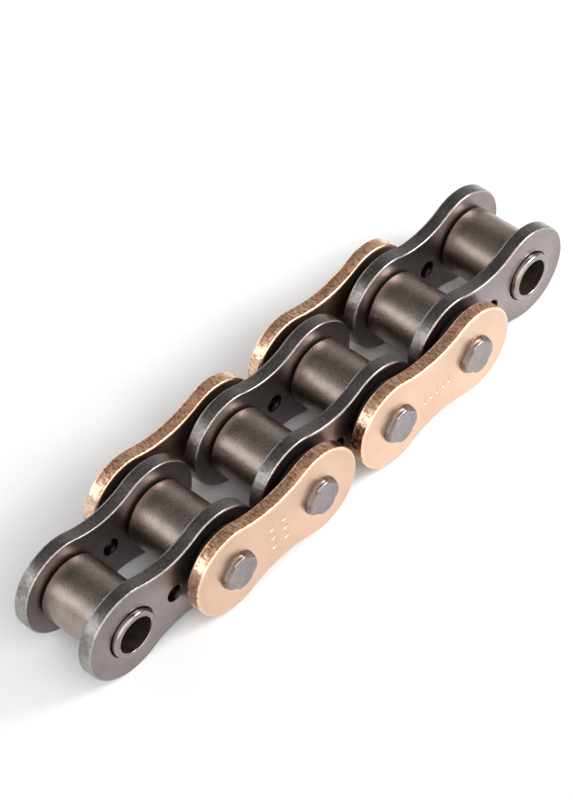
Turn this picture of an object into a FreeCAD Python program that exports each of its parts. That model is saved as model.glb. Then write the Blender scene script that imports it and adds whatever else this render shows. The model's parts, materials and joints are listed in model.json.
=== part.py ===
"""Five-pitch length of sealed-ring motorcycle drive chain, standing on its plate edges.

X runs along the chain, Y along the pins (-Y is the front side) and Z is up.
The origin is on the supporting surface, under the middle of the chain.
Three inner (roller) links and two outer (pin) links alternate along X, so the chain has six
joint centres, numbered 1 to 6. The bushes at centres 1 and 6 are empty, ready for joining pins.
"""
import FreeCAD, Part
import math
import os

import Sketcher

doc = FreeCAD.newDocument("drive_chain")

# ---------------------------------------------------------------- driving dimensions (mm)
sheet = doc.addObject("Spreadsheet::Sheet", "Sizes")
SIZES = (
    ("pitch", 15.875, "joint centre to joint centre, 5/8 inch"),
    ("inner_width", 9.7, "between the two plates of an inner link"),
    ("inner_plate_thick", 2.2, "inner plate thickness"),
    ("ring_gap", 1.5, "gap between inner and outer plate, filled by the sealing ring"),
    ("outer_plate_thick", 2.2, "outer plate thickness"),
    ("inner_end_radius", 7.45, "end radius of an inner plate, half its height"),
    ("inner_end_shift", 0.15, "end arc centre beyond the bush centre, inner plate"),
    ("inner_waist_half", 5.75, "half height of the waist, inner plate"),
    ("outer_end_radius", 6.95, "end radius of an outer plate, half its height"),
    ("outer_end_shift", 0.4, "end arc centre beyond the pin centre, outer plate"),
    ("outer_waist_half", 5.45, "half height of the waist, outer plate"),
    ("inner_plate_round", 0.3, "rounded rim of an inner plate"),
    ("outer_plate_round", 0.45, "rounded rim of an outer plate"),
    ("drain_hole_radius", 1.15, "small hole between the bushes of an inner plate"),
    ("hole_chamfer", 0.2, "chamfer at both mouths of a plate's holes"),
    ("bush_radius", 3.7, "outside of a bush, pressed into the plates"),
    ("bush_bore_radius", 2.75, "bore of a bush"),
    ("bush_proud", 0.85, "how far a bush stands out of each inner plate"),
    ("bush_lip_round", 0.5, "rounded outside lip at each end of a bush"),
    ("bush_mouth_round", 0.3, "rounded mouth of a bush's bore"),
    ("roller_radius", 5.08, "outside of a roller"),
    ("roller_bore_radius", 3.76, "bore of a roller, free to turn on the bush"),
    ("roller_side_gap", 0.22, "side play between a roller and each plate"),
    ("roller_round", 0.4, "rounded end of a roller"),
    ("pin_radius", 2.7, "shank of a pin"),
    ("head_radius", 2.98, "riveted head of a pin"),
    ("head_height", 1.05, "how far a riveted head stands out of the outer plate"),
    ("head_round", 0.35, "rounded rim of a head"),
    ("stake_radius", 1.5, "radius of the tool that stakes a head"),
    ("stake_bite", 0.34, "how far a stake mark cuts into the head's rim"),
    ("stake_depth", 0.7, "how far a stake mark runs along the pin"),
    ("stake_angle", 30, "first stake mark, degrees from X"),
    ("stake_count", 4, "stake marks round a head"),
    ("ring_middle_radius", 4.63, "sealing ring, middle of its section"),
    ("ring_lobe_radius", 0.26, "lobe of the ring's X-shaped section"),
    ("ring_lobe_offset", 0.42, "lobe centre from the middle of the section"),
    ("ring_flute_radius", 0.35, "hollow between two lobes"),
)
for row, (alias, number, note) in enumerate(SIZES, 1):
    sheet.set("A%d" % row, note)
    sheet.set("B%d" % row, str(number))
    sheet.setAlias("B%d" % row, alias)
doc.recompute()

# Sizes that follow from the driving ones, as expressions on the sheet.
HALF_PITCH = "Sizes.pitch / 2"
AXIS_HEIGHT = "Sizes.inner_end_radius"
INNER_PLATE_Y = "(Sizes.inner_width + Sizes.inner_plate_thick) / 2"
INNER_FACE_Y = "(Sizes.inner_width / 2 + Sizes.inner_plate_thick)"
OUTER_INSIDE_Y = "(%s + Sizes.ring_gap)" % INNER_FACE_Y
OUTER_PLATE_Y = "(%s + Sizes.outer_plate_thick / 2)" % OUTER_INSIDE_Y
OUTER_FACE_Y = "(%s + Sizes.outer_plate_thick)" % OUTER_INSIDE_Y
PIN_END_Y = "(%s + Sizes.head_height)" % OUTER_FACE_Y
RING_Y = "(%s + Sizes.ring_gap / 2)" % INNER_FACE_Y
BUSH_LENGTH = "2 * (%s + Sizes.bush_proud)" % INNER_FACE_Y
ROLLER_LENGTH = "Sizes.inner_width - 2 * Sizes.roller_side_gap"

CENTRES = 6
MIDDLE_CENTRE = (CENTRES + 1) / 2
SIDES = (("front", "-"), ("back", ""))
ORIGIN_POINT = (-1, 1)
CENTRE_POINT = 3
START_POINT = 1
END_POINT = 2
ACROSS_AXIS = -1
UP_AXIS = -2
TOLERANCE = 1e-4


# ---------------------------------------------------------------- helpers
def value_of(size):
    """The number that an expression on the sheet gives."""
    result = sheet.evalExpression(size)
    return float(getattr(result, "Value", result))


def new_body(label):
    """An empty body for one piece, labelled with the piece's name."""
    body = doc.addObject("PartDesign::Body", label)
    body.Label = label
    return body


def origin_feature(body, role):
    """A plane or axis of the body's own origin, by its role."""
    for feature in body.Origin.OriginFeatures:
        if feature.Role == role:
            return feature
    raise ValueError(role)


def new_sketch(body, name, role):
    """A sketch on one of the body's origin planes."""
    sketch = body.newObject("Sketcher::SketchObject", name)
    sketch.AttachmentSupport = [(origin_feature(body, role), "")]
    sketch.MapMode = "FlatFace"
    return sketch


def tie_distance(sketch, kind, first, second, size):
    """A distance between two points, bound to a size."""
    index = sketch.addConstraint(Sketcher.Constraint(kind, *first, *second, value_of(size)))
    sketch.setExpression("Constraints[%d]" % index, size)


def tie_radius(sketch, curve, size):
    """A curve's radius, bound to a size."""
    index = sketch.addConstraint(Sketcher.Constraint("Radius", curve, value_of(size)))
    sketch.setExpression("Constraints[%d]" % index, size)


def tie_centre(sketch, curve, across, up):
    """Hold a curve's centre a signed size across and up from the origin; sign 0 is on the axis."""
    for kind, axis, (sign, size) in (("DistanceX", UP_AXIS, across), ("DistanceY", ACROSS_AXIS, up)):
        if sign == 0:
            sketch.addConstraint(Sketcher.Constraint("PointOnObject", curve, CENTRE_POINT, axis))
        elif sign > 0:
            tie_distance(sketch, kind, ORIGIN_POINT, (curve, CENTRE_POINT), size)
        else:
            tie_distance(sketch, kind, (curve, CENTRE_POINT), ORIGIN_POINT, size)


ON_AXIS = (0, "0")


def signed(place):
    """The number of a signed size."""
    sign, size = place
    return sign * value_of(size)


def add_circle(sketch, radius, across=ON_AXIS, up=ON_AXIS):
    """A full circle, tied to its sizes."""
    centre = FreeCAD.Vector(signed(across), signed(up), 0)
    curve = sketch.addGeometry(Part.Circle(centre, FreeCAD.Vector(0, 0, 1), value_of(radius)))
    tie_centre(sketch, curve, across, up)
    tie_radius(sketch, curve, radius)


def add_arc(sketch, centre, radius, start, end):
    """A counter-clockwise arc from the direction of one point to that of another."""
    first = math.atan2(start.y - centre.y, start.x - centre.x)
    last = math.atan2(end.y - centre.y, end.x - centre.x)
    if last < first:
        last += 2 * math.pi
    circle = Part.Circle(centre, FreeCAD.Vector(0, 0, 1), radius)
    return sketch.addGeometry(Part.ArcOfCircle(circle, first, last))


def add_lobed_outline(sketch, lobes, flute_radius):
    """A closed outline of round lobes, in counter-clockwise order, joined by tangent hollows."""
    flute = value_of(flute_radius)
    centres = [FreeCAD.Vector(signed(across), signed(up), 0) for across, up, _ in lobes]
    radii = [value_of(radius) for _, _, radius in lobes]
    count = len(lobes)
    hollows = []
    for this in range(count):
        following = (this + 1) % count
        step = centres[following] - centres[this]
        near = radii[this] + flute
        far = radii[following] + flute
        along = (near ** 2 - far ** 2 + step.Length ** 2) / (2 * step.Length)
        outward = math.sqrt(near ** 2 - along ** 2)
        step.normalize()
        right = FreeCAD.Vector(step.y, -step.x, 0)
        hollow = centres[this] + step * along + right * outward
        leaving = centres[this] + (hollow - centres[this]) * (radii[this] / near)
        arriving = centres[following] + (hollow - centres[following]) * (radii[following] / far)
        hollows.append((hollow, leaving, arriving))
    lobe_curves = []
    hollow_curves = []
    for this in range(count):
        hollow, leaving, arriving = hollows[this]
        arrived = hollows[this - 1][2]
        lobe_curves.append(add_arc(sketch, centres[this], radii[this], arrived, leaving))
        hollow_curves.append(add_arc(sketch, hollow, flute, arriving, leaving))
    for this in range(count):
        following = lobe_curves[(this + 1) % count]
        ends = (lobe_curves[this], END_POINT, hollow_curves[this], END_POINT)
        starts = (hollow_curves[this], START_POINT, following, START_POINT)
        sketch.addConstraint(Sketcher.Constraint("Tangent", *ends))
        sketch.addConstraint(Sketcher.Constraint("Tangent", *starts))
    for curve, (across, up, radius) in zip(lobe_curves, lobes):
        tie_centre(sketch, curve, across, up)
        tie_radius(sketch, curve, radius)
    for curve in hollow_curves:
        tie_radius(sketch, curve, flute_radius)


def pad_both_ways(body, sketch, length):
    """Pad a sketch equally to both sides of its plane."""
    pad = body.newObject("PartDesign::Pad", "Pad")
    pad.Profile = sketch
    pad.Midplane = True
    pad.setExpression("Length", length)
    doc.recompute()
    return pad


def circular_edges(shape, wanted):
    """Names of the circular edges whose radius the test accepts."""
    return [
        "Edge%d" % number
        for number, edge in enumerate(shape.Edges, 1)
        if isinstance(edge.Curve, Part.Circle) and wanted(edge.Curve.Radius)
    ]


def close_to(size):
    """A test for radii that equal a size."""
    return lambda radius: abs(radius - value_of(size)) < TOLERANCE


def dress(body, kind, size, wanted):
    """Fillet or chamfer the circular edges that the test accepts."""
    base = body.Tip
    dressed = body.newObject("PartDesign::" + kind, kind)
    dressed.Base = (base, circular_edges(base.Shape, wanted))
    dressed.setExpression("Radius" if kind == "Fillet" else "Size", size)
    doc.recompute()


def place(body, centre, side="", across=None):
    """Stand a piece at a joint centre's place, with its middle at a signed size across."""
    body.setExpression("Placement.Base.x", "%g * Sizes.pitch" % (centre - MIDDLE_CENTRE))
    if across is not None:
        body.setExpression("Placement.Base.y", side + across)
    body.setExpression("Placement.Base.z", AXIS_HEIGHT)


# ---------------------------------------------------------------- link plates
# Punched figure-eight plates: two round ends joined by a waist, with the rim rounded by tumbling.
def make_plate(label, family, hole_radius, has_drain_hole):
    """One link plate, lying along X with its middle at the body's origin."""
    end_reach = "(%s + Sizes.%s_end_shift)" % (HALF_PITCH, family)
    end_radius = "Sizes.%s_end_radius" % family
    waist_half = "Sizes.%s_waist_half" % family
    waist_radius = "(%s ^ 2 + %s ^ 2 - %s ^ 2) / (2 * (%s - %s))" % (
        end_reach, waist_half, end_radius, end_radius, waist_half
    )
    body = new_body(label)
    sketch = new_sketch(body, "PlateOutline", "XZ_Plane")
    ends = [((sign, end_reach), ON_AXIS, end_radius) for sign in (1, -1)]
    add_lobed_outline(sketch, ends, waist_radius)
    for sign in (1, -1):
        add_circle(sketch, hole_radius, across=(sign, HALF_PITCH))
    if has_drain_hole:
        add_circle(sketch, "Sizes.drain_hole_radius")
    pad_both_ways(body, sketch, "Sizes.%s_plate_thick" % family)
    hole = value_of(hole_radius)
    dress(body, "Fillet", "Sizes.%s_plate_round" % family, lambda radius: radius > hole + TOLERANCE)
    if has_drain_hole:
        dress(body, "Chamfer", "Sizes.hole_chamfer", lambda radius: radius < hole + TOLERANCE)
    return body


def make_inner_plate(number, side, sign):
    """Inner plate of one roller link, pressed on its two bushes."""
    body = make_plate("inner_plate_%s_%d" % (side, number), "inner", "Sizes.bush_radius", True)
    place(body, 2 * number - 0.5, sign, INNER_PLATE_Y)
    return body


def make_outer_plate(number, side, sign):
    """Outer plate of one pin link, pressed on its two pins."""
    body = make_plate("outer_plate_%s_%d" % (side, number), "outer", "Sizes.pin_radius", False)
    place(body, 2 * number + 0.5, sign, OUTER_PLATE_Y)
    return body


# ---------------------------------------------------------------- bushes and rollers
def make_tube(label, outside, bore, length):
    """A straight tube along Y."""
    body = new_body(label)
    sketch = new_sketch(body, "Section", "XZ_Plane")
    add_circle(sketch, outside)
    add_circle(sketch, bore)
    pad_both_ways(body, sketch, length)
    return body


def make_bush(centre):
    """Solid bush: both ends stand out of the inner plates and have a rounded lip."""
    body = make_tube("bush_%d" % centre, "Sizes.bush_radius", "Sizes.bush_bore_radius", BUSH_LENGTH)
    dress(body, "Fillet", "Sizes.bush_lip_round", close_to("Sizes.bush_radius"))
    dress(body, "Fillet", "Sizes.bush_mouth_round", close_to("Sizes.bush_bore_radius"))
    place(body, centre)
    return body


def make_roller(centre):
    """Seamless roller, free to turn on its bush between the inner plates."""
    label = "roller_%d" % centre
    body = make_tube(label, "Sizes.roller_radius", "Sizes.roller_bore_radius", ROLLER_LENGTH)
    dress(body, "Fillet", "Sizes.roller_round", close_to("Sizes.roller_radius"))
    dress(body, "Chamfer", "Sizes.hole_chamfer", close_to("Sizes.roller_bore_radius"))
    place(body, centre)
    return body


# ---------------------------------------------------------------- pins
# Hardened pin, pressed through both outer plates and staked over at both ends.
def make_pin(centre):
    """Shank with two wider heads; each head carries stake marks round its rim."""
    body = new_body("pin_%d" % centre)
    shank = new_sketch(body, "Shank", "XZ_Plane")
    add_circle(shank, "Sizes.pin_radius")
    pad_both_ways(body, shank, "2 * " + OUTER_FACE_Y)
    for name, offset, away in (("Front", OUTER_FACE_Y, False), ("Back", "-" + OUTER_FACE_Y, True)):
        disc = new_sketch(body, name + "Disc", "XZ_Plane")
        disc.setExpression("AttachmentOffset.Base.z", offset)
        add_circle(disc, "Sizes.head_radius")
        head = body.newObject("PartDesign::Pad", name + "Head")
        head.Profile = disc
        head.Reversed = away
        head.setExpression("Length", "Sizes.head_height")
    doc.recompute()
    end = value_of(PIN_END_Y)
    is_end = lambda edge: abs(abs(edge.CenterOfMass.y) - end) < TOLERANCE
    base = body.Tip
    rims = ["Edge%d" % number for number, edge in enumerate(base.Shape.Edges, 1) if is_end(edge)]
    rounded = body.newObject("PartDesign::Fillet", "HeadRims")
    rounded.Base = (base, rims)
    rounded.setExpression("Radius", "Sizes.head_round")
    doc.recompute()
    whole = body.Shape.Volume
    marks = []
    stake_reach = "(Sizes.head_radius + Sizes.stake_radius - Sizes.stake_bite)"
    for name, offset, away in (("Front", PIN_END_Y, False), ("Back", "-" + PIN_END_Y, True)):
        stake = new_sketch(body, name + "Stake", "XZ_Plane")
        stake.setExpression("AttachmentOffset.Base.z", offset)
        across = (1, stake_reach + " * cos(Sizes.stake_angle * 1deg)")
        up = (1, stake_reach + " * sin(Sizes.stake_angle * 1deg)")
        add_circle(stake, "Sizes.stake_radius", across, up)
        mark = body.newObject("PartDesign::Pocket", name + "Mark")
        mark.Profile = stake
        mark.Reversed = away
        mark.setExpression("Length", "Sizes.stake_depth")
        marks.append(mark)
    doc.recompute()
    pattern = body.newObject("PartDesign::PolarPattern", "StakeMarks")
    pattern.Originals = marks
    pattern.Axis = (origin_feature(body, "Y_Axis"), [""])
    pattern.Angle = 360
    pattern.setExpression("Occurrences", "Sizes.stake_count")
    body.Tip = pattern
    doc.recompute()
    if body.Shape.Volume >= whole:
        raise RuntimeError("the stake marks cut nothing from " + body.Label)
    place(body, centre)
    return body


# ---------------------------------------------------------------- sealing rings
# Rubber ring of X-shaped section round the bush's end, between an inner and an outer plate.
def make_ring(centre, side, sign):
    """Four lobes with a hollow between each two, turned round Y."""
    body = new_body("x_ring_%s_%d" % (side, centre))
    sketch = new_sketch(body, "RingSection", "XY_Plane")
    far = "(Sizes.ring_middle_radius + Sizes.ring_lobe_offset)"
    near = "(Sizes.ring_middle_radius - Sizes.ring_lobe_offset)"
    offset = "Sizes.ring_lobe_offset"
    corners = ((far, 1), (near, 1), (near, -1), (far, -1))
    lobes = [((1, reach), (up, offset), "Sizes.ring_lobe_radius") for reach, up in corners]
    add_lobed_outline(sketch, lobes, "Sizes.ring_flute_radius")
    turned = body.newObject("PartDesign::Revolution", "Ring")
    turned.Profile = sketch
    turned.ReferenceAxis = (sketch, ["V_Axis"])
    turned.Angle = 360
    doc.recompute()
    place(body, centre, sign, RING_Y)
    return body


# ---------------------------------------------------------------- the chain, from one end
pieces = []
for centre in range(1, CENTRES + 1):
    pieces.append(make_bush(centre))
    pieces.append(make_roller(centre))
for number in range(1, CENTRES // 2 + 1):
    for side, sign in SIDES:
        pieces.append(make_inner_plate(number, side, sign))
for number in range(1, CENTRES // 2):
    for side, sign in SIDES:
        pieces.append(make_outer_plate(number, side, sign))
for centre in range(2, CENTRES):
    pieces.append(make_pin(centre))
    for side, sign in SIDES:
        pieces.append(make_ring(centre, side, sign))

doc.recompute()
for item in doc.Objects:
    if "Invalid" in item.State or "Error" in item.State:
        raise RuntimeError("%s failed: %s" % (item.Label, item.State))
os.makedirs("parts", exist_ok=True)
for piece in pieces:
    if piece.Shape.isNull() or not piece.Shape.isValid():
        raise RuntimeError("%s has no valid shape" % piece.Label)
for piece in pieces:
    piece.Shape.exportStep("parts/%s.step" % piece.Label)
print("%d pieces written" % len(pieces))
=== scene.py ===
"""Five pitches of sealed-ring motorcycle drive chain on a white studio floor.

The file follows the chain as it is put together: bushes, inner plates, rollers, sealing rings,
pins, outer plates, and last the studio. Lengths are in metres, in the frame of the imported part:
X along the chain, Y along the pins with the front at -Y, Z up from the surface.
"""
import json
import math

import bmesh
import bpy
from mathutils import Matrix, Vector
from mathutils.geometry import delaunay_2d_cdt
from mathutils.noise import fractal


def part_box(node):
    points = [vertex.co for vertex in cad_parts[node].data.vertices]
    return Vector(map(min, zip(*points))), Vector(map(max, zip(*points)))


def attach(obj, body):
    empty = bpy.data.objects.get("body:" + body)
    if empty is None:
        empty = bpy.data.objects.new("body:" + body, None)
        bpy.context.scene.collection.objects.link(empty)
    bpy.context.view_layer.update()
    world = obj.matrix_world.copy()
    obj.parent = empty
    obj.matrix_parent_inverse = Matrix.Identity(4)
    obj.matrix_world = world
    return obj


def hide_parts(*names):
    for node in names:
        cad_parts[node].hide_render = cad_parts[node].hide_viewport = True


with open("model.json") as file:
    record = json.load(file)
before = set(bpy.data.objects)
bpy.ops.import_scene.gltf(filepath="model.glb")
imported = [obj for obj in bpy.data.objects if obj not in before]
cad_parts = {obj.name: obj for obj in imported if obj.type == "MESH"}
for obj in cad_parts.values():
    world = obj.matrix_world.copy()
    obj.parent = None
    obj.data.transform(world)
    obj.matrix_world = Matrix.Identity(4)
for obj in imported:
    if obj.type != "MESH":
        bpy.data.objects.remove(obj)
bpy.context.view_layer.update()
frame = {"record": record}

MM = 0.001


# ------------------------------------------------------------------ bushes
# A bush is a case-hardened steel tube, turned and ground, pressed through both inner plates.
# Its ends stand out of the plates with a rolled, polished lip, and its bore takes the pin.
BUSH_BORE = 2.75 * MM
BUSH_LIP_ROUND = 0.55 * MM
BUSH_MOUTH_ROUND = 0.25 * MM
# The painted shade of a bore reaches just past the bore.
SHADE_MARGIN = 0.05 * MM
TURNED_SEGMENTS = 144
GUARD = 0.04 * MM


def rounded_loop(corners, steps=7, closed=True):
    """Points of a polygon of (a, b, radius) corners, each corner rounded with an arc of steps.

    A guard point on each side of an arc keeps the flats beside it flat in the shading.
    """
    points = []
    count = len(corners)
    for here, (a, b, radius) in enumerate(corners):
        corner = Vector((a, b))
        is_end = not closed and here in (0, count - 1)
        if radius == 0 or is_end:
            points.append(corner)
            continue
        to_last = (Vector(corners[here - 1][:2]) - corner).normalized()
        to_next = (Vector(corners[(here + 1) % count][:2]) - corner).normalized()
        half = to_last.angle(to_next) / 2
        bisector = (to_last + to_next).normalized()
        centre = corner + bisector * (radius / math.sin(half))
        start = corner + to_last * (radius / math.tan(half)) - centre
        sweep = math.pi - 2 * half
        turn = 1 if to_last.x * to_next.y - to_last.y * to_next.x < 0 else -1
        points.append(centre + start + to_last * GUARD)
        for step in range(steps + 1):
            angle = turn * sweep * step / steps
            across = start.x * math.cos(angle) - start.y * math.sin(angle)
            along = start.x * math.sin(angle) + start.y * math.cos(angle)
            points.append(centre + Vector((across, along)))
        points.append(points[-1] + to_next * GUARD)
    return points


def join_loops(bm, loops, ends_meet=False):
    """Quads between each loop of vertices and the next; every loop runs right round."""
    pairs = list(zip(loops, loops[1:]))
    if ends_meet:
        pairs.append((loops[-1], loops[0]))
    for first, second in pairs:
        size = len(first)
        for here in range(size):
            after = (here + 1) % size
            bm.faces.new((first[here], first[after], second[after], second[here]))


def as_piece(name, bm, smooth=True):
    """A finished mesh as an object in the scene, with its normals facing outward."""
    bmesh.ops.recalc_face_normals(bm, faces=bm.faces)
    mesh = bpy.data.meshes.new(name)
    bm.to_mesh(mesh)
    bm.free()
    mesh.polygons.foreach_set("use_smooth", [smooth] * len(mesh.polygons))
    piece = bpy.data.objects.new(name, mesh)
    bpy.context.scene.collection.objects.link(piece)
    return piece


def turned_tube(name, section, centre, painted_shade=0.0):
    """A closed (radius, along) section turned about a line along Y through centre.

    The colour layer 'rub' is red inside the given radius, where a bore is painted dark as shade.
    """
    bm = bmesh.new()
    rub = bm.verts.layers.float_color.new("rub")
    loops = []
    for radius, along in section:
        # Inside the given radius the bore gets painted shade.
        bore_shade = 1.0 if radius < painted_shade else 0.0
        loop = []
        for step in range(TURNED_SEGMENTS):
            angle = 2 * math.pi * step / TURNED_SEGMENTS
            spot = centre + Vector((radius * math.cos(angle), along, radius * math.sin(angle)))
            loop.append(bm.verts.new(spot))
            loop[-1][rub] = (bore_shade, 0.0, 0.0, 1.0)
        loops.append(loop)
    join_loops(bm, loops, ends_meet=True)
    return as_piece(name, bm)


def middle_of(node):
    """Centre of a CAD node's box."""
    low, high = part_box(node)
    return (low + high) / 2


def half_of(node):
    """Half the size of a CAD node's box along each axis."""
    low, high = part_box(node)
    return (high - low) / 2


def fit_piece(piece, node, material):
    """The piece takes a CAD node's place, rides on its body and shows its finish."""
    for body, members in frame["record"]["behaviour"]["bodies"].items():
        if node in members:
            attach(piece, body)
    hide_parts(node)
    piece.data.materials.append(material)


class Finish:
    """A metal or rubber finish, built node by node from the part's own coordinates in mm."""

    def __init__(self, name, metallic=1.0):
        self.material = bpy.data.materials.new(name)
        self.material.use_nodes = True
        self.tree = self.material.node_tree
        self.shader = self.tree.nodes["Principled BSDF"]
        self.shader.inputs["Metallic"].default_value = metallic
        self.place = self.tree.nodes.new("ShaderNodeTexCoord").outputs["Object"]

    def link(self, source, target):
        self.tree.links.new(source, target)

    def scaled(self, across, along, up):
        """Part coordinates in mm, stretched by a factor along each axis."""
        node = self.tree.nodes.new("ShaderNodeMapping")
        node.inputs["Scale"].default_value = (across / MM, along / MM, up / MM)
        self.link(self.place, node.inputs["Vector"])
        return node.outputs["Vector"]

    def noise(self, across, along, up, detail=4.0, roughness=0.55):
        """Cloudy grain, as many grains per mm along each axis as asked."""
        node = self.tree.nodes.new("ShaderNodeTexNoise")
        node.inputs["Scale"].default_value = 1.0
        node.inputs["Detail"].default_value = detail
        node.inputs["Roughness"].default_value = roughness
        self.link(self.scaled(across, along, up), node.inputs["Vector"])
        return node.outputs["Fac"]

    def ramp(self, source, *stops):
        """A colour or value ramp of (position, colour) stops; a number makes a grey."""
        node = self.tree.nodes.new("ShaderNodeValToRGB")
        slots = node.color_ramp.elements
        while len(slots) < len(stops):
            slots.new(0.5)
        for slot, (position, colour) in zip(slots, stops):
            slot.position = position
            grey = (colour, colour, colour) if isinstance(colour, (int, float)) else colour
            slot.color = (*grey, 1.0)
        self.link(source, node.inputs["Fac"])
        return node.outputs["Color"]

    def mix(self, factor, first, second, kind="MIX"):
        """Blend of two colours or outputs by a factor."""
        node = self.tree.nodes.new("ShaderNodeMix")
        node.data_type = "RGBA"
        node.blend_type = kind
        sockets = [socket for socket in node.inputs if socket.enabled]
        for socket, value in zip(sockets, (factor, first, second)):
            if isinstance(value, bpy.types.NodeSocket):
                self.link(value, socket)
            elif isinstance(value, tuple):
                socket.default_value = (*value, 1.0)
            else:
                socket.default_value = value
        return next(socket for socket in node.outputs if socket.enabled)

    def sums(self, kind, first, second):
        """One arithmetic step on two values."""
        node = self.tree.nodes.new("ShaderNodeMath")
        node.operation = kind
        for socket, value in zip(node.inputs, (first, second)):
            if isinstance(value, bpy.types.NodeSocket):
                self.link(value, socket)
            else:
                socket.default_value = value
        return node.outputs["Value"]

    def painted(self, layer):
        """The red, green and blue values that the mesh carries in a colour layer."""
        node = self.tree.nodes.new("ShaderNodeAttribute")
        node.attribute_name = layer
        parts = self.tree.nodes.new("ShaderNodeSeparateColor")
        self.link(node.outputs["Color"], parts.inputs["Color"])
        return parts.outputs["Red"], parts.outputs["Green"], parts.outputs["Blue"]

    def bump(self, *layers):
        """Stacked reliefs, each a (height, depth in mm) pair, into the shader's normal."""
        below = None
        for height, depth in layers:
            node = self.tree.nodes.new("ShaderNodeBump")
            node.inputs["Distance"].default_value = depth * MM
            self.link(height, node.inputs["Height"])
            if below is not None:
                self.link(below, node.inputs["Normal"])
            below = node.outputs["Normal"]
        self.link(below, self.shader.inputs["Normal"])

    def wear(self, colour, roughness):
        """Colour and roughness into the shader; the finished material comes back."""
        self.link(colour, self.shader.inputs["Base Color"])
        self.link(roughness, self.shader.inputs["Roughness"])
        return self.material


def ground_bush_steel():
    """Grey ground steel with fine rings from turning and a faint straw tint."""
    finish = Finish("ground_bush_steel")
    rings = finish.noise(0.3, 14.0, 0.3, detail=3.0)
    stain = finish.noise(0.7, 0.7, 0.7)
    speck = finish.noise(5.0, 5.0, 5.0, detail=2.0)
    bore_shade, _, _ = finish.painted("rub")
    tint = finish.ramp(stain, (0.3, (0.27, 0.24, 0.225)), (0.7, (0.35, 0.315, 0.295)))
    # Painted shade: the bore is coloured near-black brown for the shade deep inside it, and made less
    # metallic like a grease film.
    shade_paint = finish.ramp(stain, (0.3, (0.022, 0.016, 0.014)), (0.7, (0.045, 0.033, 0.028)))
    tint = finish.mix(bore_shade, tint, shade_paint)
    colour = finish.mix(0.35, tint, finish.ramp(rings, (0.3, 0.55), (0.7, 1.0)), "MULTIPLY")
    finish.link(finish.ramp(bore_shade, (0.0, 1.0), (1.0, 0.25)), finish.shader.inputs["Metallic"])
    roughness = finish.ramp(speck, (0.3, 0.14), (0.75, 0.26))
    finish.bump((rings, 0.004), (speck, 0.010))
    return finish.wear(colour, roughness)


bush_steel = ground_bush_steel()
for number in range(1, 7):
    node = "bush_%d" % number
    half = half_of(node)
    section = rounded_loop((
        (BUSH_BORE, -half.y, BUSH_MOUTH_ROUND), (half.x, -half.y, BUSH_LIP_ROUND),
        (half.x, half.y, BUSH_LIP_ROUND), (BUSH_BORE, half.y, BUSH_MOUTH_ROUND),
    ))
    bush = turned_tube("ground_" + node, section, middle_of(node), BUSH_BORE + SHADE_MARGIN)
    fit_piece(bush, node, bush_steel)


# ------------------------------------------------------------------ inner plates
# Inner plates are blanked from thick spring-steel strip, hardened dark and tumbled, so the faces
# are smooth, the sheared rims grained, and the edges between them rubbed bright.
INNER_WAIST_HALF = 5.75 * MM
INNER_EDGE = (0.34 * MM, 0.32 * MM)
BUSH_HOLE = 3.7 * MM
MIDDLE_HOLE = 1.15 * MM
HOLE_CHAMFER = 0.2 * MM
OUTLINE_SPACING = 0.14 * MM
HOLE_SEGMENTS = 96
ROUND_STEPS = 5
RIM_ROWS = 12
BURNISH_FROM = 11.1 * MM
BURNISH_FADE = 1.4 * MM
HOLE_RUB = 0.3
INNER_RIPPLE = 0.012 * MM
MARK_DEPTH = 0.13 * MM
MARK_WALL = 0.12 * MM
MARK_WALL_STEPS = 3
MARK_SILL = 0.03 * MM
PITCH = middle_of("bush_2").x - middle_of("bush_1").x


def plate_outline(reach, end_radius, waist_half):
    """Counter-clockwise (place, outward) pairs round two end arcs and two hollow waist arcs."""
    hollow_radius = (reach ** 2 + waist_half ** 2 - end_radius ** 2) / (2 * (end_radius - waist_half))
    hollow_height = waist_half + hollow_radius
    lean = math.atan2(hollow_height, reach)
    outline = []
    arcs = (
        (reach, 0.0, end_radius, lean - math.pi, math.pi - lean, 1),
        (0.0, hollow_height, hollow_radius, -lean, lean - math.pi, -1),
        (-reach, 0.0, end_radius, lean, 2 * math.pi - lean, 1),
        (0.0, -hollow_height, hollow_radius, math.pi - lean, lean, -1),
    )
    for centre_x, centre_z, radius, first, last, side in arcs:
        steps = max(4, round(abs(last - first) * radius / OUTLINE_SPACING))
        for step in range(steps):
            angle = first + (last - first) * step / steps
            ray = Vector((math.cos(angle), math.sin(angle)))
            outline.append((Vector((centre_x, centre_z)) + ray * radius, ray * side))
    return outline


def plate_ends(node):
    """Reach and radius of the two end arcs of a plate, from its CAD box."""
    half = half_of(node)
    return half.x - half.z, half.z


def plate_centre(node):
    """Middle of a plate, at the height of the bushes' centres."""
    middle = middle_of(node)
    middle.z = middle_of("bush_1").z
    return middle


def edge_profile(thick, edge):
    """(inset, along) steps over the rim, from the front face, round both edges, to the back."""
    inset, drop = edge
    half = thick / 2
    rows = [(inset + GUARD, -half)]
    for step in range(ROUND_STEPS + 1):
        angle = math.pi / 2 * step / ROUND_STEPS
        rows.append((inset * (1 - math.sin(angle)), -half + drop * (1 - math.cos(angle))))
    straight = thick - 2 * drop
    for step in range(1, RIM_ROWS):
        rows.append((0.0, -half + drop + straight * step / RIM_ROWS))
    rows += [(inset_back, -along) for inset_back, along in reversed(rows[:ROUND_STEPS + 2])]
    return rows


def hole_profile(thick):
    """(outset, along) steps through a chamfered hole, front to back."""
    half = thick / 2
    knee = 0.3 * HOLE_CHAMFER
    front = (
        (HOLE_CHAMFER + GUARD, -half), (HOLE_CHAMFER, -half),
        (knee, HOLE_CHAMFER - knee - half), (0.0, HOLE_CHAMFER - half),
    )
    return front + tuple((outset, -along) for outset, along in reversed(front))


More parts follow.
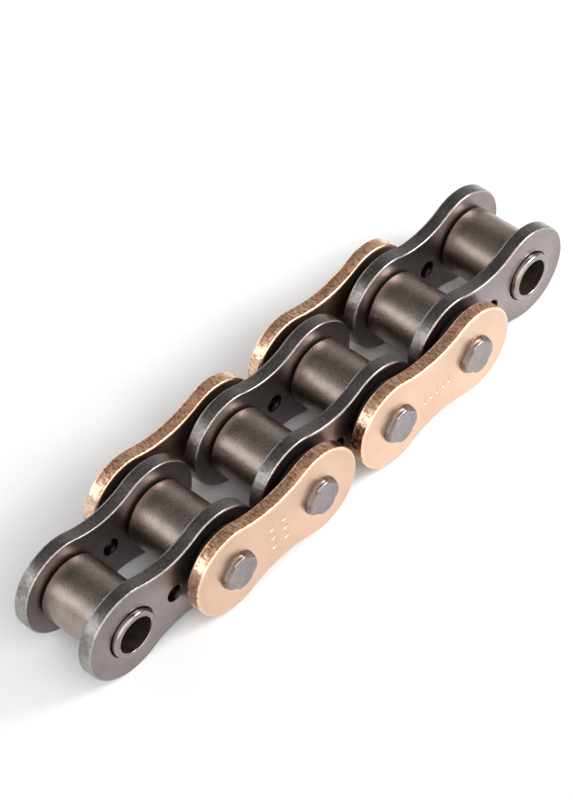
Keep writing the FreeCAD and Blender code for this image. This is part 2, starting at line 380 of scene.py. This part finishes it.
def mark_profile():
    """(inset, along) steps down the soft wall of a pressed mark to its flat bottom."""
    rows = [(-GUARD, 0.0)]
    for step in range(MARK_WALL_STEPS + 1):
        along = (1 - math.cos(math.pi * step / MARK_WALL_STEPS)) / 2
        rows.append((MARK_WALL * step / MARK_WALL_STEPS, MARK_DEPTH * along))
    rows.append((MARK_WALL + MARK_SILL, MARK_DEPTH))
    return rows


def rubbed_plate(name, centre, thick, outline, edge, holes, ripple, marks=()):
    """A blanked plate: rounded rim with a sheared ripple, chamfered holes and two flat faces.

    The colour layer 'rub' holds red on the sheared rim, green on the rubbed edges and blue where
    the two ends are burnished; a second layer is white on the walls of the holes, which get
    painted shade. Marks are closed outlines pressed into the front face.
    """
    bm = bmesh.new()
    rub = bm.verts.layers.float_color.new("rub")
    shade_paint = bm.verts.layers.float_color.new("shade_paint")

    def put(place, along, red, green, painted_shade=0.0):
        vertex = bm.verts.new((centre.x + place.x, centre.y + along, centre.z + place.y))
        past = (abs(place.x) - BURNISH_FROM) / BURNISH_FADE
        vertex[rub] = (red, green, min(1.0, max(0.0, past)), 1.0)
        vertex[shade_paint] = (painted_shade, painted_shade, painted_shade, 1.0)
        return vertex

    rows = edge_profile(thick, edge)
    loops = []
    for inset, along in rows:
        off_face = max(0.0, 1 - inset / edge[0])
        edge_rub = 1 - abs(2 * off_face - 1)
        off_edge = 1 - min(1.0, abs(along) / (thick / 2 - edge[1]))
        torn = min(1.0, 0.1 + off_edge * 2)
        loop = []
        for place, outward in outline:
            shear = ripple(centre.x + place.x, along, place.y) * torn
            loop.append(put(place - outward * (inset + shear), along, off_face, edge_rub))
        loops.append(loop)
    join_loops(bm, loops)
    rings = [loops[0][:], loops[-1][:]]
    borders = [[], []]
    for hole_x, radius in holes:
        loops = []
        for outset, along in hole_profile(thick):
            # The hole walls, all but the outer ring, are marked for painted shade.
            painted_shade = 1.0 if outset <= HOLE_CHAMFER else 0.0
            loop = []
            for step in range(HOLE_SEGMENTS):
                angle = 2 * math.pi * step / HOLE_SEGMENTS
                ray = Vector((math.cos(angle), math.sin(angle)))
                spot = Vector((hole_x, 0)) + ray * (radius + outset)
                loop.append(put(spot, along, 0.0, HOLE_RUB, painted_shade))
            loops.append(loop)
        join_loops(bm, loops)
        borders[0].append(loops[0])
        borders[1].append(loops[-1])
    for mark in marks:
        loops = []
        for inset, deep in mark_profile():
            along = deep - thick / 2
            loops.append([put(place - outward * inset, along, 0.0, 0.0) for place, outward in mark])
        join_loops(bm, loops)
        bm.faces.new(loops[-1])
        borders[0].append(loops[0])
    for ring, hole_rings in zip(rings, borders):
        fill_face(bm, ring, hole_rings)
    return as_piece(name, bm)


def fill_face(bm, ring, hole_rings):
    """Triangles over the flat face between an outer ring of vertices and the rings of its holes."""
    vertices = list(ring)
    faces = [list(range(len(ring)))]
    for hole in hole_rings:
        faces.append(list(range(len(vertices), len(vertices) + len(hole)))[::-1])
        vertices += hole
    flat = [Vector((vertex.co.x, vertex.co.z)) for vertex in vertices]
    triangles_without_holes = 2
    weld = 1e-9
    result = delaunay_2d_cdt(flat, [], faces, triangles_without_holes, weld)
    origins = [source[0] for source in result[3]]
    for triangle in result[2]:
        corners = [vertices[origins[corner]] for corner in triangle]
        bm.faces.new(corners)


def fine_ripple(x, along, z):
    """Small waviness of the tumbled inner rims, in metres."""
    spot = Vector((x * 1.6, along * 0.9, z * 1.6)) / MM
    return INNER_RIPPLE * max(0.1, 1.2 + fractal(spot, 0.8, 2.0, 3))


def hardened_plate_steel():
    """Dark tempered steel: satin faces, grained greenish rims, bright rubbed edges."""
    finish = Finish("hardened_plate_steel")
    rim, edge, end = finish.painted("rub")
    cloud = finish.noise(0.35, 0.35, 0.35, detail=5.0)
    grain = finish.noise(5.5, 5.5, 5.5, detail=3.0, roughness=0.7)
    peen = finish.noise(2.6, 1.8, 2.6, detail=4.0, roughness=0.65)
    face = finish.ramp(cloud, (0.3, (0.210, 0.174, 0.174)), (0.7, (0.270, 0.226, 0.226)))
    sheared = finish.ramp(peen, (0.35, (0.14, 0.128, 0.122)), (0.65, (0.23, 0.212, 0.202)))
    bare = finish.ramp(peen, (0.35, (0.25, 0.238, 0.23)), (0.6, (0.38, 0.365, 0.355)))
    patchy = finish.ramp(cloud, (0.4, 0.25), (0.55, 1.0))
    rim_end = finish.sums("MULTIPLY", rim, end)
    burnished = finish.sums("MULTIPLY", rim_end, patchy)
    colour = finish.mix(burnished, finish.mix(rim, face, sheared), bare)
    rubbed = finish.sums("MULTIPLY", edge, finish.ramp(peen, (0.3, 0.15), (0.6, 0.75)))
    colour = finish.mix(rubbed, colour, (0.52, 0.48, 0.465))
    # Painted shade: the walls of the holes are coloured near-black for the shade inside them.
    painted_shade, _, _ = finish.painted("shade_paint")
    colour = finish.mix(painted_shade, colour, (0.030, 0.024, 0.022))
    smooth = finish.ramp(grain, (0.3, 0.28), (0.7, 0.38))
    rough = finish.ramp(grain, (0.3, 0.28), (0.7, 0.40))
    roughness = finish.mix(burnished, finish.mix(rim, smooth, rough), (0.34, 0.34, 0.34))
    roughness = finish.mix(rubbed, roughness, (0.24, 0.24, 0.24))
    relief = finish.mix(rim, (0.5, 0.5, 0.5), grain)
    finish.bump((relief, 0.012), (grain, 0.003), (peen, 0.006))
    return finish.wear(colour, roughness)


plate_steel = hardened_plate_steel()
inner_outline = plate_outline(*plate_ends("inner_plate_front_1"), INNER_WAIST_HALF)
inner_holes = ((-PITCH / 2, BUSH_HOLE), (0.0, MIDDLE_HOLE), (PITCH / 2, BUSH_HOLE))
for number in range(1, 4):
    for side in ("front", "back"):
        node = "inner_plate_%s_%d" % (side, number)
        plate = rubbed_plate(
            "hardened_" + node, plate_centre(node), 2 * half_of(node).y,
            inner_outline, INNER_EDGE, inner_holes, fine_ripple,
        )
        fit_piece(plate, node, plate_steel)


# ------------------------------------------------------------------ rollers
# A roller is a seamless steel tube, turned outside and bored, that spins freely on its bush.
# Its skin is satin grey-brown with fine rings round it, and its ends are rounded.
ROLLER_BORE = 3.76 * MM
ROLLER_END_ROUND = 0.42 * MM
ROLLER_BORE_ROUND = 0.18 * MM


def satin_roller_steel():
    """Satin turned steel with fine rings, soft clouding and a peppery grain."""
    finish = Finish("satin_roller_steel")
    rings = finish.noise(0.35, 9.0, 0.35, detail=4.0, roughness=0.65)
    pepper = finish.noise(4.2, 5.0, 4.2, detail=2.0, roughness=0.7)
    cloud = finish.noise(0.5, 0.5, 0.5, detail=4.0)
    tint = finish.ramp(cloud, (0.3, (0.36, 0.30, 0.265)), (0.7, (0.46, 0.39, 0.345)))
    colour = finish.mix(0.3, tint, finish.ramp(rings, (0.35, 0.5), (0.65, 1.0)), "MULTIPLY")
    colour = finish.mix(0.5, colour, finish.ramp(pepper, (0.36, 0.68), (0.62, 1.0)), "MULTIPLY")
    roughness = finish.ramp(pepper, (0.3, 0.25), (0.7, 0.36))
    finish.bump((rings, 0.006), (pepper, 0.03))
    return finish.wear(colour, roughness)


roller_steel = satin_roller_steel()
for number in range(1, 7):
    node = "roller_%d" % number
    half = half_of(node)
    section = rounded_loop((
        (ROLLER_BORE, -half.y, ROLLER_BORE_ROUND), (half.x, -half.y, ROLLER_END_ROUND),
        (half.x, half.y, ROLLER_END_ROUND), (ROLLER_BORE, half.y, ROLLER_BORE_ROUND),
    ))
    roller = turned_tube("satin_" + node, section, middle_of(node))
    fit_piece(roller, node, roller_steel)


# ------------------------------------------------------------------ sealing rings
# Moulded black rubber rings of X-shaped section, slipped over the bush ends and held between the
# inner and outer plates, where they keep the grease in. They carry a thin film of it.
RING_MIDDLE = 4.63 * MM
RING_SECTION = 0.681 * MM
RING_FLUTE = 0.169 * MM
RING_SECTION_STEPS = 48


def greased_rubber():
    """Black rubber, barely mottled, with a patchy grease shine."""
    finish = Finish("greased_rubber", metallic=0.0)
    mottle = finish.noise(1.5, 1.5, 1.5)
    colour = finish.ramp(mottle, (0.3, (0.005, 0.005, 0.005)), (0.7, (0.012, 0.011, 0.011)))
    finish.shader.inputs["Specular IOR Level"].default_value = 0.15
    roughness = finish.ramp(mottle, (0.35, 0.42), (0.65, 0.65))
    finish.bump((mottle, 0.01))
    return finish.wear(colour, roughness)


ring_rubber = greased_rubber()
ring_section = []
for step in range(RING_SECTION_STEPS):
    angle = 2 * math.pi * step / RING_SECTION_STEPS
    reach = RING_SECTION - RING_FLUTE * math.cos(4 * angle)
    ring_section.append((RING_MIDDLE + reach * math.cos(angle), reach * math.sin(angle)))
for number in range(2, 6):
    for side in ("front", "back"):
        node = "x_ring_%s_%d" % (side, number)
        ring = turned_tube("moulded_" + node, ring_section, middle_of(node))
        fit_piece(ring, node, ring_rubber)


# ------------------------------------------------------------------ pins
# A pin is a hardened, ground steel rod pressed through both outer plates. Its two ends are upset
# to a slightly wider head and staked at four places so that the plates can't walk off.
PIN_SHANK = 2.7 * MM
HEAD_HEIGHT = 1.05 * MM
HEAD_ROUND = 0.28 * MM
HEAD_TAPER = 0.22 * MM
STAKE_TOOL = 4.0 * MM
STAKE_BITE = 0.62 * MM
STAKE_DEPTH = 0.75 * MM
STAKE_FADE = 0.12 * MM
FIRST_STAKE = math.radians(48)
STAKES = 4
PIN_SEGMENTS = 160
FACE_RINGS = 8
FACE_DISH = 0.12 * MM


def staked_radius(radius, head_radius, angle, depth_from_end):
    """The radius left at an angle where the staking tool has bitten the head's rim."""
    apart = 2 * math.pi / STAKES
    offset = (angle - FIRST_STAKE + apart / 2) % apart - apart / 2
    away = head_radius + STAKE_TOOL - STAKE_BITE
    inside = STAKE_TOOL ** 2 - (away * math.sin(offset)) ** 2
    if inside <= 0:
        return radius
    limit = away * math.cos(offset) - math.sqrt(inside)
    fade = min(1.0, max(0.0, (depth_from_end - STAKE_DEPTH) / STAKE_FADE))
    return min(radius, limit + (head_radius - limit) * fade)


def staked_pin(name, centre, head_radius, half):
    """Shank, two upset heads with stake marks, and end faces closed by rings of quads."""
    neck = half - HEAD_HEIGHT
    section = rounded_loop((
        (0.0, -half, 0), (head_radius - HEAD_TAPER, -half, HEAD_ROUND), (head_radius, -neck, 0),
        (PIN_SHANK, -neck, 0), (PIN_SHANK, neck, 0), (head_radius, neck, 0),
        (head_radius - HEAD_TAPER, half, HEAD_ROUND), (0.0, half, 0),
    ), closed=False)[1:-1]
    face_rim = section[0].x
    face = []
    for ring in range(1, FACE_RINGS):
        outward = ring / FACE_RINGS
        face.append((face_rim * outward, -half + FACE_DISH * (1 - outward ** 2)))
    section = face + section + [(radius, -along) for radius, along in reversed(face)]
    bm = bmesh.new()
    loops = []
    for radius, along in section:
        loop = []
        for step in range(PIN_SEGMENTS):
            angle = 2 * math.pi * step / PIN_SEGMENTS
            left = radius
            if abs(along) > neck:
                left = staked_radius(radius, head_radius, angle, half - abs(along))
            spot = centre + Vector((left * math.cos(angle), along, left * math.sin(angle)))
            loop.append(bm.verts.new(spot))
        loops.append(loop)
    join_loops(bm, loops)
    bm.faces.new(loops[0])
    bm.faces.new(loops[-1])
    return as_piece(name, bm)


def ground_pin_steel():
    """Neutral grey ground steel with faint clouding and fine scratches."""
    finish = Finish("ground_pin_steel")
    cloud = finish.noise(0.6, 0.6, 0.6, detail=5.0)
    scratch = finish.noise(9.0, 0.6, 1.2, detail=3.0)
    colour = finish.ramp(cloud, (0.3, (0.22, 0.205, 0.212)), (0.7, (0.30, 0.28, 0.288)))
    roughness = finish.ramp(scratch, (0.3, 0.24), (0.7, 0.36))
    finish.bump((scratch, 0.004), (cloud, 0.02))
    return finish.wear(colour, roughness)


pin_steel = ground_pin_steel()
for number in range(2, 6):
    node = "pin_%d" % number
    half = half_of(node)
    pin = staked_pin("staked_" + node, middle_of(node), half.z, half.y)
    fit_piece(pin, node, pin_steel)


# ------------------------------------------------------------------ outer plates
# Outer plates are blanked like the inner ones, then plated pale copper-gold. The punch rolls the
# front edge over softly and leaves the rim torn in short cross-wise streaks.
OUTER_WAIST_HALF = 5.45 * MM
OUTER_EDGE = (0.42 * MM, 0.34 * MM)
PIN_HOLE = 2.7 * MM
OUTER_RIPPLE = 0.03 * MM


def torn_ripple(x, along, z):
    """Short streaks torn across the plated rims, in metres."""
    spot = Vector((x * 2.9, along * 1.1, z * 2.9)) / MM
    return OUTER_RIPPLE * max(0.1, 1.2 + fractal(spot, 0.6, 2.1, 3))


def copper_gold_plate():
    """Pale copper-gold plating: satin faces, darker torn rims, bright thin edges."""
    finish = Finish("copper_gold_plate")
    rim, edge, end = finish.painted("rub")
    cloud = finish.noise(0.22, 0.22, 0.22, detail=4.0)
    grain = finish.noise(6.0, 6.0, 6.0, detail=2.0)
    torn = finish.noise(3.1, 1.3, 3.1, detail=5.0, roughness=0.72)
    blotch = finish.noise(1.4, 1.4, 1.4, detail=3.0)
    face = finish.ramp(cloud, (0.3, (0.62, 0.43, 0.315)), (0.7, (0.69, 0.49, 0.37)))
    sheared = finish.ramp(
        torn, (0.36, (0.24, 0.10, 0.05)), (0.47, (0.60, 0.31, 0.185)), (0.56, (0.88, 0.53, 0.345)),
        (0.68, (0.98, 0.72, 0.53)),
    )
    rim_end = finish.sums("MULTIPLY", rim, end)
    burnished = finish.sums("MULTIPLY", rim_end, finish.ramp(blotch, (0.38, 0.0), (0.47, 1.0)))
    colour = finish.mix(burnished, finish.mix(rim, face, sheared), (0.86, 0.61, 0.44))
    colour = finish.mix(finish.sums("MULTIPLY", edge, 0.5), colour, (0.92, 0.72, 0.55))
    smooth = finish.ramp(grain, (0.3, 0.28), (0.7, 0.35))
    rough = finish.ramp(torn, (0.36, 0.45), (0.66, 0.26))
    roughness = finish.mix(burnished, finish.mix(rim, smooth, rough), (0.20, 0.20, 0.20))
    relief = finish.mix(burnished, finish.mix(rim, (0.5, 0.5, 0.5), torn), (0.5, 0.5, 0.5))
    finish.bump((relief, 0.08), (grain, 0.003))
    return finish.wear(colour, roughness)


gold_plate = copper_gold_plate()
outer_outline = plate_outline(*plate_ends("outer_plate_front_1"), OUTER_WAIST_HALF)
outer_holes = ((-PITCH / 2, PIN_HOLE), (PITCH / 2, PIN_HOLE))
DOT_RADIUS = 0.55 * MM
DOT_COLUMN = 2.3 * MM
DOT_ROW = 1.85 * MM
BAR_HALF = 0.75 * MM
BAR_RADIUS = 0.24 * MM
BAR_SPACING = 1.25 * MM
MARK_OUTLINE_STEPS = 20


def stadium(centre_x, centre_z, half, radius):
    """Outline of a short upright bar with round ends; a half length of nothing makes a dot."""
    outline = []
    for step in range(MARK_OUTLINE_STEPS):
        angle = 2 * math.pi * (step + 0.5) / MARK_OUTLINE_STEPS
        ray = Vector((math.cos(angle), math.sin(angle)))
        end = half if ray.y > 0 else -half
        outline.append((Vector((centre_x, centre_z + end)) + ray * radius, ray))
    return outline


dots = [
    stadium(column * DOT_COLUMN, row * DOT_ROW, 0.0, DOT_RADIUS)
    for row in (-1, 0, 1) for column in (-0.5, 0.5)
]
bars = [stadium(place * BAR_SPACING, 0.0, BAR_HALF, BAR_RADIUS) for place in range(-2, 3)]
for number, pressed in ((1, dots), (2, bars)):
    for side in ("front", "back"):
        node = "outer_plate_%s_%d" % (side, number)
        marks = pressed if side == "front" else ()
        plate = rubbed_plate(
            "plated_" + node, plate_centre(node), 2 * half_of(node).y,
            outer_outline, OUTER_EDGE, outer_holes, torn_ripple, marks,
        )
        fit_piece(plate, node, gold_plate)


# ------------------------------------------------------------------ studio
# A sheet of white paper under the chain. A wide soft box stands behind it on the left, a small
# narrow one at the front right, bright panels in front and behind, and the room is dim above.
FLOOR_SIZE = 6.0


def white_paper():
    """Matt white paper."""
    paper = bpy.data.materials.new("white_paper")
    paper.use_nodes = True
    shader = paper.node_tree.nodes["Principled BSDF"]
    shader.inputs["Base Color"].default_value = (0.84, 0.84, 0.845, 1.0)
    shader.inputs["Roughness"].default_value = 0.9
    shader.inputs["Specular IOR Level"].default_value = 0.2
    return paper


bm = bmesh.new()
bmesh.ops.create_grid(bm, x_segments=1, y_segments=1, size=FLOOR_SIZE / 2)
floor = as_piece("paper_floor", bm, smooth=False)
floor.data.materials.append(white_paper())


def soft_box(name, aim, toward, distance, width, height, power, spread):
    """A rectangular light that stands in a direction from its aim and faces it."""
    data = bpy.data.lights.new(name, "AREA")
    data.shape = "RECTANGLE"
    data.size = width
    data.size_y = height
    data.energy = power
    data.spread = math.radians(spread)
    lamp = bpy.data.objects.new(name, data)
    away = Vector(toward).normalized()
    lamp.location = Vector(aim) + away * distance
    lamp.rotation_mode = "QUATERNION"
    lamp.rotation_quaternion = away.to_track_quat("Z", "Y")
    bpy.context.scene.collection.objects.link(lamp)


soft_box(
    "left_soft_box", aim=(0.0, 0.0, 0.0), toward=(-0.73, 0.49, 0.47), distance=0.7,
    width=0.48, height=0.34, power=0.72, spread=180,
)
soft_box(
    "right_soft_box", aim=(0.06, -0.025, 0.0), toward=(0.55, -0.55, 0.63), distance=0.20,
    width=0.12, height=0.10, power=0.085, spread=60,
)

world = bpy.data.worlds.new("studio_room")
bpy.context.scene.world = world
world.use_nodes = True
nodes = world.node_tree.nodes
links = world.node_tree.links


def room_band(axis, *stops):
    """Brightness of the room from (position, brightness) stops, from 0 away to 1 along an axis."""
    along = nodes.new("ShaderNodeVectorMath")
    along.operation = "DOT_PRODUCT"
    along.inputs[1].default_value = Vector(axis).normalized()
    links.new(nodes.new("ShaderNodeTexCoord").outputs["Generated"], along.inputs[0])
    place = nodes.new("ShaderNodeMapRange")
    place.inputs["From Min"].default_value = -1.0
    links.new(along.outputs["Value"], place.inputs["Value"])
    band = nodes.new("ShaderNodeValToRGB")
    slots = band.color_ramp.elements
    while len(slots) < len(stops):
        slots.new(0.5)
    for slot, (position, brightness) in zip(slots, stops):
        slot.position = position
        slot.color = (brightness, brightness, brightness, 1.0)
    links.new(place.outputs["Result"], band.inputs["Fac"])
    return band.outputs["Color"]


def added(first, second):
    """Sum of two bands of the room."""
    both = nodes.new("ShaderNodeMix")
    both.data_type = "RGBA"
    both.blend_type = "ADD"
    both.inputs["Factor"].default_value = 1.0
    colours = [socket for socket in both.inputs if socket.type == "RGBA"]
    links.new(first, colours[0])
    links.new(second, colours[1])
    return next(socket for socket in both.outputs if socket.type == "RGBA")


walls = room_band((0, 0, 1), (0.50, 0.62), (0.75, 0.52), (0.87, 0.20), (0.93, 0.07))
front = room_band((-0.30, -0.74, 0.50), (0.79, 0.0), (0.88, 2.05))
back = room_band((-0.12, 0.95, 0.28), (0.928, 0.0), (0.965, 1.6))
links.new(added(added(walls, front), back), nodes["Background"].inputs["Color"])

bpy.context.scene.view_settings.view_transform = "Standard"

CAMERA_AIM = Vector((0.33, 2.72, 9.39)) * MM
CAMERA_DISTANCE = 369.6 * MM
CAMERA_AZIMUTH = math.radians(-41.26)
CAMERA_ELEVATION = math.radians(49.34)
CAMERA_ROLL = math.radians(-7.70)
CAMERA_LENS = 122.36
CAMERA_SENSOR = 36.0
CAMERA_CLIP = 0.01
camera_data = bpy.data.cameras.new("studio_camera")
camera_data.lens = CAMERA_LENS
camera_data.sensor_width = CAMERA_SENSOR
camera_data.clip_start = CAMERA_CLIP
camera = bpy.data.objects.new("studio_camera", camera_data)
backward = Vector((
    math.sin(CAMERA_AZIMUTH) * math.cos(CAMERA_ELEVATION),
    -math.cos(CAMERA_AZIMUTH) * math.cos(CAMERA_ELEVATION),
    math.sin(CAMERA_ELEVATION),
))
sideways = Vector((math.cos(CAMERA_AZIMUTH), math.sin(CAMERA_AZIMUTH), 0.0))
upward = backward.cross(sideways)
turn = Matrix.Rotation(CAMERA_ROLL, 3, backward)
axes = Matrix((turn @ sideways, turn @ upward, backward)).transposed()
camera.matrix_world = Matrix.Translation(CAMERA_AIM + backward * CAMERA_DISTANCE) @ axes.to_4x4()
bpy.context.scene.collection.objects.link(camera)
bpy.context.scene.camera = camera
